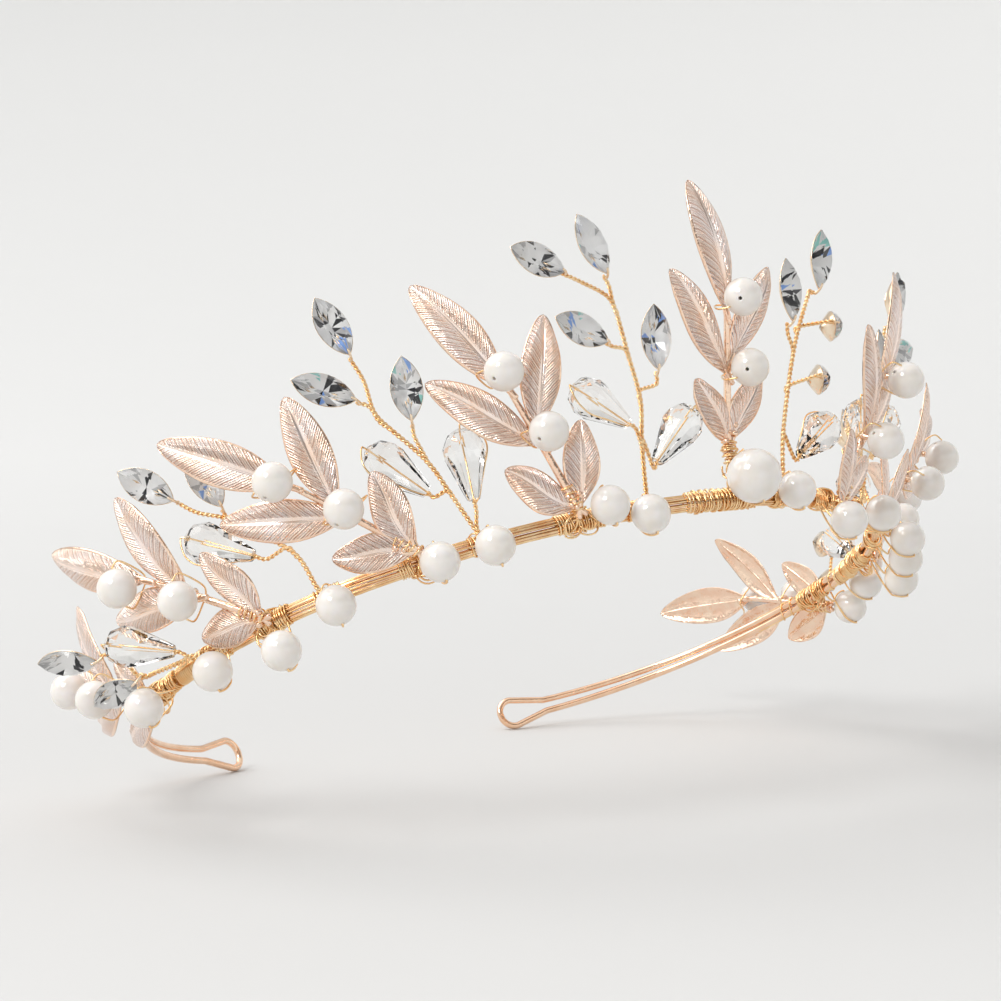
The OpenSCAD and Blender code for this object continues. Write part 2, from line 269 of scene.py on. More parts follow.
def frames_along(p, closed=False):
    """Tangent and the two cross directions at each point, without sudden turns."""
    if closed:
        tangent = unit(np.roll(p, -1, 0) - np.roll(p, 1, 0))
    else:
        tangent = unit(np.gradient(p, axis=0))
    first = np.eye(3)[np.argmin(np.abs(tangent[0]))]
    normal = np.zeros_like(p)
    for i, t in enumerate(tangent):
        first = first - t * first.dot(t)
        first = first / np.linalg.norm(first)
        normal[i] = first
    other = np.cross(tangent, normal)
    if closed:
        back = math.atan2(normal[0].dot(other[-1]), normal[0].dot(normal[-1]))
        share = np.linspace(0, back, len(p))[:, None]
        normal, other = (normal * np.cos(share) + other * np.sin(share),
                         other * np.cos(share) - normal * np.sin(share))
    return tangent, normal, other


def tube(points, diameter, sides=8, closed=False):
    """A round wire along the points; diameter is one number or one per point."""
    p = np.asarray(points, float)
    radius = np.broadcast_to(np.asarray(diameter, float) / 2, len(p))
    tangent, normal, other = frames_along(p, closed)
    if not closed:  # rounded ends
        p = np.vstack([p[0] - tangent[0] * radius[0] * 0.4, p, p[-1] + tangent[-1] * radius[-1] * 0.4])
        radius = np.concatenate([radius[:1] * 0.55, radius, radius[-1:] * 0.55])
        normal, other = (np.vstack([a[:1], a, a[-1:]]) for a in (normal, other))
    around = np.arange(sides) * 2 * math.pi / sides
    ring = normal[:, None] * np.cos(around)[None, :, None] + other[:, None] * np.sin(around)[None, :, None]
    vertices = (p[:, None] + ring * radius[:, None, None]).reshape(-1, 3)
    faces = []
    count = len(p)
    for i in range(count if closed else count - 1):
        a, b = i * sides, (i + 1) % count * sides
        faces += [(a + k, a + (k + 1) % sides, b + (k + 1) % sides, b + k) for k in range(sides)]
    if not closed:
        faces.append(tuple(reversed(range(sides))))
        faces.append(tuple(range((count - 1) * sides, count * sides)))
    return vertices, faces


def twisted(points, strands, wire_d, offset, pitch):
    """Wires twisted together along a line."""
    tangent, normal, other = frames_along(points)
    run = np.concatenate([[0], np.cumsum(np.linalg.norm(np.diff(points, axis=0), axis=1))])
    for k in range(strands):
        angle = (run / pitch + k / strands)[:, None] * 2 * math.pi
        yield tube(points + (normal * np.cos(angle) + other * np.sin(angle)) * offset, wire_d, 6)


def lathe(profile, sides):
    """A surface of revolution about Z from (radius, height) pairs."""
    around = np.arange(sides) * 2 * math.pi / sides
    vertices = [(r * math.cos(a), r * math.sin(a), z) for r, z in profile for a in around]
    faces = []
    for i in range(len(profile) - 1):
        a, b = i * sides, (i + 1) * sides
        faces += [(a + k, a + (k + 1) % sides, b + (k + 1) % sides, b + k) for k in range(sides)]
    return vertices, faces


def wander(rng, size, waves=3):
    """A smooth random function of one number, about size in height."""
    terms = [(rng.uniform(0.4, 1), rng.uniform(0.3, 1.7) * (k + 1), rng.uniform(0, 6.3))
             for k in range(waves)]
    return lambda x: size * sum(a * math.sin(f * x + c) for a, f, c in terms) / waves


# ---------------------------------------------------------------- materials

class Surface:
    """A Principled material with short ways to add nodes."""

    def __init__(self, name, **inputs):
        self.material = bpy.data.materials.new(name)
        self.material.use_nodes = True
        self.tree = self.material.node_tree
        self.shader = self.tree.nodes["Principled BSDF"]
        for key, value in inputs.items():
            self.shader.inputs[key.replace("_", " ")].default_value = value
        self.place = self.node("ShaderNodeTexCoord").outputs["Object"]

    def node(self, kind, **settings):
        made = self.tree.nodes.new(kind)
        for key, value in settings.items():
            setattr(made, key, value)
        return made

    def link(self, output, target):
        if isinstance(target, str):
            target = self.shader.inputs[target]
        self.tree.links.new(output, target)

    def noise(self, size_mm, detail=2, roughness=0.5):
        """Noise with features of that size."""
        made = self.node("ShaderNodeTexNoise")
        made.inputs["Scale"].default_value = 1 / (size_mm * METRES)
        made.inputs["Detail"].default_value = detail
        made.inputs["Roughness"].default_value = roughness
        self.link(self.place, made.inputs["Vector"])
        return made.outputs["Fac"]

    def ramp(self, source, *stops, steps=False):
        """Colours or greys at places between 0 and 1."""
        made = self.node("ShaderNodeValToRGB")
        made.color_ramp.interpolation = "CONSTANT" if steps else "LINEAR"
        while len(made.color_ramp.elements) < len(stops):
            made.color_ramp.elements.new(0.5)
        for element, (position, colour) in zip(made.color_ramp.elements, stops):
            element.position = position
            element.color = (*colour, 1) if isinstance(colour, tuple) else (colour, colour, colour, 1)
        self.link(source, made.inputs["Fac"])
        return made.outputs["Color"]

    def math(self, operation, a, b=None):
        made = self.node("ShaderNodeMath", operation=operation)
        for value, target in zip((a, b), made.inputs):
            if isinstance(value, (int, float)):
                target.default_value = value
            elif value is not None:
                self.link(value, target)
        return made.outputs[0]

    def mixed(self, factor, a, b):
        made = self.node("ShaderNodeMix", data_type="RGBA")
        self.link(factor, made.inputs["Factor"])
        for value, key in ((a, "A"), (b, "B")):
            target = [s for s in made.inputs if s.name == key and s.type == "RGBA"][0]
            if isinstance(value, tuple):
                target.default_value = (*value, 1)
            else:
                self.link(value, target)
        return [s for s in made.outputs if s.type == "RGBA"][0]

    def bump(self, height, depth_mm, strength=1.0, before=None):
        made = self.node("ShaderNodeBump")
        made.inputs["Distance"].default_value = depth_mm * METRES
        made.inputs["Strength"].default_value = strength
        self.link(height, made.inputs["Height"])
        if before is not None:
            self.link(before, made.inputs["Normal"])
        return made.outputs["Normal"]


def plated_metal(name, light, dark, roughness, wear, dents):
    """Plated metal: cloudy tone, fine drawing marks and a soft unevenness of the polish."""
    s = Surface(name, Metallic=1.0)
    clouds = s.noise(2.5, 3)
    s.link(s.mixed(s.ramp(clouds, (0.35, 0.0), (0.65, 1.0)), dark, light), "Base Color")
    marks = s.noise(0.12, 4, 0.65)
    s.link(s.math("ADD", s.math("MULTIPLY", marks, wear), roughness), "Roughness")
    s.link(s.bump(marks, 0.01, 0.25, s.bump(s.noise(1.1, 2), dents)), "Normal")
    return s.material


def leaf_front():
    """Veined side of a leaf: finely grooved with slanting lines, pink plating with random patches of paler
    lilac tone that are partly a painted sheen, and painted shade in the groove bottoms.
    """
    s = Surface("leaf_front", Metallic=0.85)
    s.shader.inputs["Coat Weight"].default_value = 0.25
    s.shader.inputs["Coat Roughness"].default_value = 0.25
    uv = s.node("ShaderNodeSeparateXYZ")
    s.link(s.node("ShaderNodeUVMap", uv_map="UVMap").outputs["UV"], uv.inputs[0])
    along, across = uv.outputs["X"], uv.outputs["Y"]
    ragged = s.math("MULTIPLY", s.noise(1.6, 3), 0.5)
    phase = s.math("ADD", along, ragged)
    fine = s.math("SINE", s.math("MULTIPLY", phase, 2 * math.pi / 0.52))
    coarse = s.math("SINE", s.math("MULTIPLY", phase, 2 * math.pi / 1.37))
    veins = s.math("ADD", s.math("MULTIPLY", fine, 0.7), s.math("MULTIPLY", coarse, 0.5))
    blade = s.ramp(across, (0.12, 0.0), (0.2, 1.0), (0.86, 1.0), (0.93, 0.0))
    height = s.math("MULTIPLY", veins, blade)
    # Painted shade: the low part of each vein wave, inside the midrib and rim, is marked to take a dark
    # rose brown as if shade lay in the groove bottoms.
    painted_shade_hollow = s.ramp(s.math("MULTIPLY_ADD", veins, 0.5), (0.0, 1.0), (0.3, 0.0))
    painted_groove_shade = s.math("MULTIPLY", painted_shade_hollow, blade)
    # Random patches from pink to pale lilac-white: partly the plating's own varying tone, partly a painted
    # sheen.
    tone_and_painted_sheen = s.ramp(s.noise(4.5, 2),
                   (0.36, (1.0, 0.77, 0.63)), (0.5, (1.0, 0.83, 0.73)), (0.66, (1.0, 0.87, 0.82)))
    # Painted shade: the groove bottoms are mixed towards a dark rose brown.
    s.link(s.mixed(s.math("MULTIPLY", painted_groove_shade, 0.65), tone_and_painted_sheen, (0.78, 0.40, 0.26)), "Base Color")
    s.link(s.math("ADD", s.math("MULTIPLY", s.noise(0.25, 3), 0.14), 0.13), "Roughness")
    s.link(s.bump(height, 0.12, 1.0, s.bump(s.noise(0.3, 3), 0.02)), "Normal")
    return s.material


def pearl_coat():
    """Ivory bead under a clear nacre coat."""
    s = Surface("pearl", Roughness=0.16, IOR=1.6)
    s.shader.inputs["Coat Weight"].default_value = 0.8
    s.shader.inputs["Coat Roughness"].default_value = 0.06
    s.shader.inputs["Coat IOR"].default_value = 1.65
    s.shader.inputs["Sheen Weight"].default_value = 0.25
    s.shader.inputs["Sheen Tint"].default_value = (1.0, 0.88, 0.72, 1)
    s.shader.inputs["Subsurface Weight"].default_value = 0.25
    s.shader.inputs["Subsurface Radius"].default_value = (1.0, 0.75, 0.5)
    s.shader.inputs["Subsurface Scale"].default_value = 0.0012
    cloud = s.ramp(s.noise(3.2, 3),
                   (0.3, (0.80, 0.75, 0.69)), (0.55, (0.83, 0.795, 0.755)), (0.75, (0.86, 0.82, 0.80)))
    s.link(cloud, "Base Color")
    s.link(s.bump(s.noise(0.35, 3), 0.004), "Normal")
    return s.material


def crystal_glass(name, ior, tint):
    s = Surface(name, IOR=ior)
    s.shader.inputs["Transmission Weight"].default_value = 1.0
    s.link(s.ramp(s.noise(3, 2), (0.3, tint), (0.7, (1.0, 1.0, 1.0))), "Base Color")
    s.link(s.math("MULTIPLY", s.noise(0.8, 3), 0.03), "Roughness")
    return s.material


def foil():
    """Mirror behind a crystal. Each facet is painted dark, grey or white as a painted reflection, a few of
    them with painted coloured flashes.
    """
    s = Surface("crystal_foil", Metallic=0.12)
    uv = s.node("ShaderNodeSeparateXYZ")
    s.link(s.node("ShaderNodeUVMap", uv_map="UVMap").outputs["UV"], uv.inputs[0])
    # Painted reflection: a random value per facet picks near black, grey or white, and a few blue and teal
    # flashes, in place of what the facets would reflect.
    tone = s.ramp(uv.outputs["X"], (0.0, (0.015, 0.015, 0.02)), (0.15, (0.55, 0.55, 0.56)),
                  (0.25, (1.0, 1.0, 1.0)), (0.95, (0.25, 0.45, 0.95)),
                  (0.98, (0.35, 0.80, 0.75)), steps=True)
    s.link(tone, "Base Color")
    s.link(s.math("MULTIPLY", s.noise(0.4, 3), 0.12), "Roughness")
    return s.material


rose_wire = plated_metal("rose_gold_wire", (0.96, 0.69, 0.50), (0.90, 0.58, 0.38), 0.06, 0.12, 0.03)
gold_wire = plated_metal("gold_wire", (1.0, 0.76, 0.46), (0.90, 0.56, 0.26), 0.07, 0.12, 0.02)
cup_metal = plated_metal("gold_cup", (0.95, 0.80, 0.62), (0.84, 0.64, 0.44), 0.10, 0.14, 0.02)
leaf_back = plated_metal("leaf_back", (0.96, 0.74, 0.57), (0.92, 0.63, 0.47), 0.08, 0.14, 0.22)
leaf_face = leaf_front()
pearl_skin = pearl_coat()
crystal_clear = crystal_glass("crystal_glass", 1.45, (1.0, 0.99, 0.975))
drop_clear = crystal_glass("drop_glass", 1.36, (0.95, 0.93, 0.90))
crystal_back = foil()


# ---------------------------------------------------------------- headband

def arm_gap(s):
    """Half the distance between the two rails: they open a little in the bare arms."""
    bare = max(0.0, (s - BARE_ARM_START) / (BAND_LENGTH - BARE_ARM_START))
    return RAIL_GAP / 2 + 0.45 * bare ** 1.5


def loop_half():
    """Upper half of the end loop, as distance past the band's end and height."""
    flare = math.radians(LOOP_FLARE)
    knee = arm_gap(BAND_LENGTH)
    middle = (LOOP_R * math.cos(flare) - knee) / math.tan(flare) + LOOP_R * math.sin(flare)
    arc = [math.radians(90 + LOOP_FLARE - a) for a in range(0, 108, 9)]
    return [(middle + LOOP_R * math.cos(a), LOOP_R * math.sin(a)) for a in arc]


def headband():
    rail = np.arange(0, BAND_LENGTH - 0.5, 1.5)
    right_top = [(s, arm_gap(s)) for s in rail]
    loop = loop_half()
    line = []
    for side in (1, -1):
        end = station(side, BAND_LENGTH)
        upper = [placed(station(side, s), [(0, 0, h)])[0] for s, h in right_top]
        upper += [placed(end, [(x, 0, h)])[0] for x, h in loop]
        lower = [placed(station(side, s), [(0, 0, -h)])[0] for s, h in right_top]
        lower += [placed(end, [(x, 0, -h)])[0] for x, h in loop[:-1]]
        line.append(upper + lower[::-1])
    # front, right top, right loop, right bottom, front, left bottom, left loop, left top
    points = np.array(line[0] + line[1][::-1][1:-1])
    Shape().add(*tube(points, RAIL_D, 16, closed=True)).make(
        "headband", [rose_wire], "rose_gold_wire", "frame", "headband_wire")


def front_strands():
    """Thin wires that run along the band under the lashings, not quite parallel."""
    shape = Shape()
    rng = random.Random(11)
    for k in range(STRAND_COUNT):
        start = -100 + 25 * k
        slide, lift = wander(rng, 13), wander(rng, 0.05)
        path = []
        for s in np.arange(-STRAND_REACH, STRAND_REACH + 0.1, 0.9):
            angle = math.radians(start + slide(s * 0.07))
            path.append((s, 0.78 * math.cos(angle) + lift(s), 1.25 * math.sin(angle)))
        points = [around_band(1 if s >= 0 else -1, [(abs(s), o, h)])[0] for s, o, h in path]
        shape.add(*tube(points, STRAND_D, 6))
    shape.make("front_strands", [gold_wire], "gold_wire", "frame", "band_strands")


# ---------------------------------------------------------------- lashings

def winding(rng, side, s0, s1, turns, grow=1.0, slack=0.07):
    """Turns of wire round the band, from s0 to s1."""
    wide, tall, slide = (wander(rng, slack) for k in range(3))
    start = rng.uniform(0, 6.3)
    count = round(turns * 14)
    path = []
    for i in range(count + 1):
        t = i / count
        angle = start + t * turns * 2 * math.pi
        out = 0.15 + (1.0 + wide(angle * 0.4)) * grow * math.cos(angle)
        height = (1.5 + tall(angle * 0.4)) * grow * math.sin(angle)
        path.append((s0 + (s1 - s0) * t + slide(angle * 0.23) * 2, out, height))
    return around_band(side, path)


def crossing(rng, side, s, reach, lift):
    """A figure of eight that goes round the band on both sides of a stem and crosses in front."""
    path = []
    tilt = rng.uniform(-0.5, 0.5)
    for i in range(49):
        angle = 2 * math.pi * i / 24
        lobe = 1 if i < 24 else -1
        out = 0.3 + (1.35 + lift) * math.cos(angle)
        height = 1.75 * math.sin(angle) + tilt * 0.4
        path.append((s + lobe * reach * (0.5 - 0.5 * math.cos(angle)) + tilt, out, height))
    return around_band(side, path)


def stray_loop(rng, matrix):
    """A loose curl of wire end."""
    radius = rng.uniform(0.9, 1.5)
    start = rng.uniform(0, 6.3)
    turn = matrix @ rotate("X", rng.uniform(-40, 40)) @ rotate("Y", rng.uniform(-60, 60))
    points = []
    for i in range(30):
        angle = start + i * 0.36
        grow = radius * (1 + 0.02 * i)
        points.append((grow * math.cos(angle), i * 0.04, grow * math.sin(angle)))
    return placed(turn, points)


def stem_coil(rng, matrix, line, turns, radius):
    """Turns of wire round a stem."""
    points = curve(line, 0.2)
    tangent, normal, other = frames_along(points)
    count = round(turns * 14)
    spread = wander(rng, 0.12)
    coil = []
    for i in range(count + 1):
        k = round(i / count * (len(points) - 1))
        angle = i / 14 * 2 * math.pi
        r = radius + spread(angle * 0.35)
        coil.append(points[k] + r * (normal[k] * math.cos(angle) + other[k] * math.sin(angle)))
    return placed(matrix, curve(coil[::2], 0.25))


def lashings():
    shape = Shape()
    rng = random.Random(5)

    def lay(points):
        shape.add(*tube(points, LASH_D, 6))

    for side in (-1, 1):
        for spray in SPRAYS[side]:
            s = spray[0]
            lay(winding(rng, side, s - 3.2, s - 1.0, 5))
            lay(winding(rng, side, s + 1.0, s + 3.2, 5))
            lay(winding(rng, side, s - 2.6, s + 2.4, 3, 1.16, 0.15))
            for k in range(3):
                lay(crossing(rng, side, s, rng.uniform(1.3, 2.3), 0.35 * k))
            foot = spray_place(side, spray)
            lay(stem_coil(rng, foot, [(0, -1.2, 0), (0, 1, 0), (0.1, 3.4, 0.1)], 5, 1.05))
            for k in range(2):
                below = station(side, s + rng.uniform(-1.5, 1.5)) @ move(0, -1.7, rng.uniform(-1.9, -0.8))
                lay(stray_loop(rng, below))
        for s, lean, kind in SPRIGS[side]:
            lay(winding(rng, side, s - 2.1, s + 2.1, 7))
            lay(crossing(rng, side, s, 1.4, 0.1))
        for s, height in PEARLS[side]:
            lay(winding(rng, side, s - 0.9, s + 0.9, 3, 1.04))
        close, spaced = CLOSE_COIL[side], OPEN_COIL[side]
        lay(winding(rng, side, close - 1.5, close + 4.2, 14, 1.05, 0.04))
        lay(winding(rng, side, close + 4.2, spaced + 4.8, 8, 1.0, 0.1))
    lay(winding(rng, 1, -8.5, 6.5, 19, 1.08, 0.12))
    lay(winding(rng, 1, -7, 5, 9, 1.25, 0.2))
    post = station(-1, SPRAY_CENTRE[0])
    line = [(0, -1.2, 0.6), (0, -1.0, 4.5), (0, -1.5, 9)]
    lay(stem_coil(rng, post, line, 13, 1.1))
    lay(stem_coil(rng, post, line, 8, 1.35))
    for k in range(3):
        lay(stray_loop(rng, post @ move(rng.uniform(-1, 1), -1.4, rng.uniform(1, 6))))
    shape.make("wire_lashings", [gold_wire], "gold_wire", "frame", "lashings")


def pearl_wires():
    """Each band pearl is threaded on a wire that comes from the band and goes back to it."""
    shape = Shape()
    rng = random.Random(3)
    held = [(1, BIG_PEARL, BIG_PEARL_OUT, BIG_PEARL_D)]
    for side in (-1, 1):
        held += [(side, place, pearl_out(side, i), PEARL_D) for i, place in enumerate(PEARLS[side])]
    for side, (s, height), out, d in held:
        way = rng.choice((-1, 1)) * 0.7
        points = []
        for end in (1, -1):
            hug = d / 2 + (0.3 if end > 0 else 0.2)
            back = [(way * end * math.sin(a), -out + hug * math.sin(a), height + end * hug * math.cos(a))
                    for a in np.radians((6, 24, 42, 58))]
            last = max(-1.3, min(1.3, height + end * 1.6))
            half = [(way * end, -0.95, last), (way * end, -1.3, 0.5 * (last + back[-1][2]))] + back[::-1]
            half += [(0, -out, height + end * (d / 2 - 0.1))]
            points += half if end > 0 else [(0, -out, height)] + half[::-1]
        line = placed(station(side, s), curve(points, 0.3))
        shape.add(*tube(line, PIN_D * 0.85, 8))
    shape.make("pearl_wire_loops", [gold_wire], "gold_wire", "frame", "pearl_wires")


# ---------------------------------------------------------------- pearls

def pearl_mesh(d, bore_d, sides=48, rings=30):
    """A bead drilled along Z, with a softened edge round each hole."""
    radius, bore = d / 2, bore_d / 2
    start = math.asin((bore + 0.12) / radius)
    angles = np.linspace(start, math.pi - start, rings)
    outside = [(radius * math.sin(a), radius * math.cos(a)) for a in angles]
    top = outside[0][1]
    lip = [(bore, top - 0.9), (bore, top - 0.10), (bore + 0.03, top - 0.03)]
    profile = lip + outside + [(r, -z) for r, z in reversed(lip)]
    return lathe(profile[::-1], sides)


def pearl_out(side, i):
    return LAST_LEFT_OUT if side < 0 and i == len(PEARLS[side]) - 1 else PEARL_OUT


def band_pearls():
    bore = PIN_D + 2 * PEARL_PLAY
    held = [("centre", 1, BIG_PEARL, BIG_PEARL_OUT, BIG_PEARL_D)]
    for side in (-1, 1):
        for i, place in enumerate(PEARLS[side]):
            held.append((f"{SIDE_NAMES[side]}_{i + 1}", side, place, pearl_out(side, i), PEARL_D))
    for name, side, (s, height), out, d in held:
        shape = Shape().add(*pearl_mesh(d, bore), matrix=station(side, s) @ move(0, -out, height))
        shape.make(f"band_pearl_{name}", [pearl_skin], "pearl", f"pearl_{name}", f"pearl_{name}")


def spray_pearls(name, side, sprays):
    shape = Shape()
    for spray in sprays:
        for centre in SPRAY_PEARLS:
            tilted = spray_place(side, spray) @ move(*centre) @ rotate("X", 12) @ rotate("Y", 58)
            shape.add(*pearl_mesh(PEARL_D, PEG_BORE_D), matrix=tilted)
    shape.make(f"pearls_on_{name}", [pearl_skin], "pearl", "frame", f"spray_pearls_{name}")


# ---------------------------------------------------------------- leaf sprays

HALF_COLUMNS = [0, 0.05, 0.1, 0.16, 0.25, 0.37, 0.5, 0.63, 0.75, 0.84, 0.9, 0.95, 1]
LEAF_ROWS = 48
RIM = 0.93
VEIN_SLANT = 1.25


def leaf_outline(t, width):
    """Half the width at t from the base to the tip."""
    return width / 2 * math.sin(math.pi * t ** 1.02) ** (1.0 - 0.42 * t) + 0.12 * (1 - t)


def leaf_height(t, a, width, phase):
    """Height of the veined side over the leaf's middle line; a is 0 at the midrib, 1 at the edge."""
    pillow = 0.10 * width * math.sin(math.pi * min(1, a * 0.95)) ** 0.8
    droop = 0.11 * width * a * a
    midrib = 0.2 * math.exp(-(a * width / 1.1) ** 4) * (1 - 0.5 * t)
    rim = 0.14 if a > RIM else 0.0
    wave = 0.12 * math.sin(2.2 * math.pi * t + phase) * a
    taper = min(1, 6 * t, 5 * (1 - t) + 0.15)
    return (pillow - droop + wave) * taper + midrib + rim


def leaf_mesh(shape, matrix, base, tip, width, rng):
    base, tip = np.array(base, float), np.array(tip, float)
    v = tip - base
    length = np.linalg.norm(v)
    lie = move(*base) @ rotate("Z", -math.degrees(math.atan2(v[0], v[1])))
    lie = lie @ rotate("X", math.degrees(math.asin(v[2] / length)))
    columns = [-a for a in HALF_COLUMNS[:0:-1]] + HALF_COLUMNS
    sag = length ** 2 / (8 * LEAF_CURL)
    bend, hook, wave = rng.uniform(-0.5, 0.5), rng.uniform(0.2, 0.9), rng.uniform(0, 6.3)
    roll = math.radians(rng.uniform(-14, 14))
    front, back, uv = [], [], []
    for row in range(LEAF_ROWS + 1):
        t = 0.5 - 0.5 * math.cos(math.pi * row / LEAF_ROWS)
        t = 0.35 * t + 0.65 * row / LEAF_ROWS
        half = leaf_outline(t, width)
        middle_x = bend * math.sin(2 * math.pi * t) * 0.6 + bend * math.sin(math.pi * t)
        lift = sag * 4 * t * (1 - t) - hook * max(0, t - 0.75) ** 2 * 4
        turned = roll * (t - 0.3)
        for a in columns:
            u = a * half
            z = leaf_height(t, abs(a), width, wave + (1.3 if a < 0 else 0))
            ripple = 0.018 * math.sin(2 * math.pi * (t * length - VEIN_SLANT * abs(u)) / 1.45)
            ripple *= min(1, max(0, (abs(a) - 0.1) * 8), max(0, (RIM - abs(a)) * 12))
            thick = (0.62 - 0.45 * abs(a) ** 3) * min(1, 5 * t + 0.4, 4 * (1 - t) + 0.25)
            for side, height in ((front, z + ripple), (back, z - thick)):
                x = middle_x + u * math.cos(turned) - height * math.sin(turned)
                side.append((x, t * length, lift + u * math.sin(turned) + height * math.cos(turned) - 0.1))
            uv.append((t * length - VEIN_SLANT * abs(u), abs(a)))
    wide = len(columns)
    place = matrix @ lie
    blade, rim = [], []
    for row in range(LEAF_ROWS):
        for k in range(wide - 1):
            corner = row * wide + k
            at_edge = min(abs(columns[k]), abs(columns[k + 1])) >= 0.9
            (rim if at_edge else blade).append((corner, corner + 1, corner + wide + 1, corner + wide))
    total = (LEAF_ROWS + 1) * wide
    behind = [tuple(total + k for k in reversed(f)) for f in blade + rim]
    edge = [row * wide for row in range(LEAF_ROWS + 1)]
    edge += [LEAF_ROWS * wide + k for k in range(1, wide)]
    edge += [row * wide + wide - 1 for row in range(LEAF_ROWS - 1, -1, -1)] + list(range(wide - 2, 0, -1))
    wall = [(a, b, total + b, total + a) for a, b in zip(edge, edge[1:] + edge[:1])]
    groups = [(blade, 0), (rim + behind + wall, 1)]
    shape.add_groups(front + back, groups, uv=uv * 2, matrix=place)


def casting(shape, matrix, rng):
    """The stem of a spray with its leaf stalks, pearl pegs and small lumps."""
    def rod(points, diameters):
        line = curve(points, 0.4)
        run = np.linspace(0, 1, len(line))
        d = np.interp(run, np.linspace(0, 1, len(diameters)), diameters)
        shape.add(*tube(line, d, 12), material=1, matrix=matrix)

    rod(STEM, [1.5, 1.2, 1.1, 0.8])
    for base, tip, width in LEAVES:
        base, tip = np.array(base, float), np.array(tip, float)
        along = unit(tip - base)
        rod([base - along * 1.6, base, base + along * 2.2 + (0, 0, 0.25)], [0.9, 1.1, 0.75])
    for x, y, out in SPRAY_PEARLS:
        rod([(x, y, 0), (x, y, out - 2)], [1.2, 0.9])
    for k in range(7):
        r = rng.uniform(0.35, 0.6)
        place = move(rng.uniform(-1.1, 1.1), rng.uniform(-0.6, 3.2), rng.uniform(0.1, 0.8))
        ball = lathe([(r * math.sin(a), r * 1.3 * math.cos(a)) for a in np.linspace(3.1, 0.04, 9)], 10)
        shape.add(*ball, material=1, matrix=matrix @ place @ rotate("Z", 40 * k))


def pearl_ties(shape, matrix, rng):
    """Thin wires that hold a spray's pearls to its stem."""
    for x, y, out in SPRAY_PEARLS:
        side = rng.choice((-1, 1))
        loop = [(x + side * 2.6, y - 1.6, out - 0.4), (x + side * 3.3, y - 1.9, out - 2.2),
                (x + side * 1.6, y - 1.5, 0.1), (x, y - 1.2, -0.95), (x - side * 1.6, y - 0.9, 0.1),
                (x - side * 3.3, y + 1.5, out - 2.2), (x - side * 2.6, y + 1.6, out - 0.6)]
        shape.add(*tube(placed(matrix, curve(loop, 0.3)), LASH_D, 6), material=2)


def leaf_spray(name, side, spray, seed):
    rng = random.Random(seed)
    shape = Shape()
    matrix = spray_place(side, spray)
    for base, tip, width in LEAVES:
        leaf_mesh(shape, matrix, base, tip, width, rng)
    casting(shape, matrix, rng)
    pearl_ties(shape, matrix, rng)
    if name == "centre":
        line = [(0, -0.9, 1.0), (0, -0.9, 5), (0, -1.2, 8), (0, -1.5, 9.5)]
        shape.add(*tube(placed(station(side, spray[0]), curve(line, 0.4)), POST_D, 12), material=1)
    shape.make(f"leaves_{name}", [leaf_face, leaf_back, gold_wire], "rose_gold_leaf", "frame",
               f"leaf_spray_{name}")


# ---------------------------------------------------------------- sprigs

def sprig_wires(side, i, rng):
    """A stem of two wires twisted together, with a thinner pair to each stone and bead."""
    shape = Shape()
    sprig = SPRIGS[side][i]
    kind = sprig[2]
    matrix = sprig_place(side, sprig)
    bends = np.array([(x, y, 0) for x, y in STEMS[kind]], float)
    stem = curve([bends[0] - (1.2, 0.9, 0.2), *bends], 0.16)
    for part in twisted(stem, 2, *STEM_TWIST):
        shape.add(*part, matrix=matrix)
    ends = [(x, y, direction, back, CRYSTAL_L + 0.3, bend)
            for x, y, direction, twist, bend, back in CRYSTALS[kind]]
    ends += [(x, y, direction, 0, DROP_L, bend) for x, y, direction, bend in DROPS[kind]]
    for x, y, direction, back, length, bend in ends:
        foot, ahead = placed(on_sprig(x, y, direction, 0, back, length), [(0, 0, 0), (0, 1, 0)])
        ahead = ahead - foot
        start = bends[bend]
        reach = np.linalg.norm(foot - start)
        along = unit(start - bends[bend - 1]) if bend else np.array((0, 1, 0))
        line = [start - along * 0.8, start + along * 0.15 * reach + ahead * 0.1 * reach,
                foot - ahead * 0.35 * reach, foot]
        line = curve(line, 0.16)
        line[:, 2] += 0.25 * np.sin(np.linspace(0, math.pi, len(line))) * rng.uniform(-1, 1)
        for part in twisted(line, 2, *BRANCH_TWIST):
            shape.add(*part, matrix=matrix)
    for x, y, direction, bend in DROPS[kind]:
        inner_and_outer_wire(shape, matrix @ on_sprig(x, y, direction, length=DROP_L), rng)
    name = f"{SIDE_NAMES[side]}_{i + 1}"
    shape.make(f"twisted_wire_{name}", [gold_wire], "gold_wire", "frame", f"sprig_wire_{name}")


def inner_and_outer_wire(shape, matrix, rng):
    """The wire goes up through a drop bead, bends over its wide end and comes back outside."""
    r = DROP_D / 2
    ball = DROP_L - r
    line = [(0, -0.4, 0), (0, DROP_L * 0.5, 0), (0, DROP_L + 0.1, 0), (0.5, DROP_L + 0.55, 0)]
    line += [((r + 0.25) * math.cos(a), ball + (r + 0.4) * math.sin(a), 0)
             for a in np.radians((62, 38, 12, -12))]
    line += [(r * 0.78, ball * 0.6, 0), (0.9, 0.6, 0), (0.25, -0.5, 0)]
    turned = matrix @ rotate("Y", rng.choice((0, 180)) + rng.uniform(-35, 35))
    shape.add(*tube(placed(turned, curve(line, 0.25)), BEAD_WIRE_D, 6))


def oval_ring(length, width, count):
    """Points round a pointed oval: tip, one side, foot, other side."""
    r = (length ** 2 + width ** 2) / (4 * width)
    half = math.asin(length / 2 / r)
    ring = []
    for sign in (1, -1):
        for k in range(count // 2):
            a = sign * (half - 2 * half * k / (count // 2))
            ring.append((sign * (r * math.cos(a) - (r - width / 2)), r * math.sin(a)))
    return ring


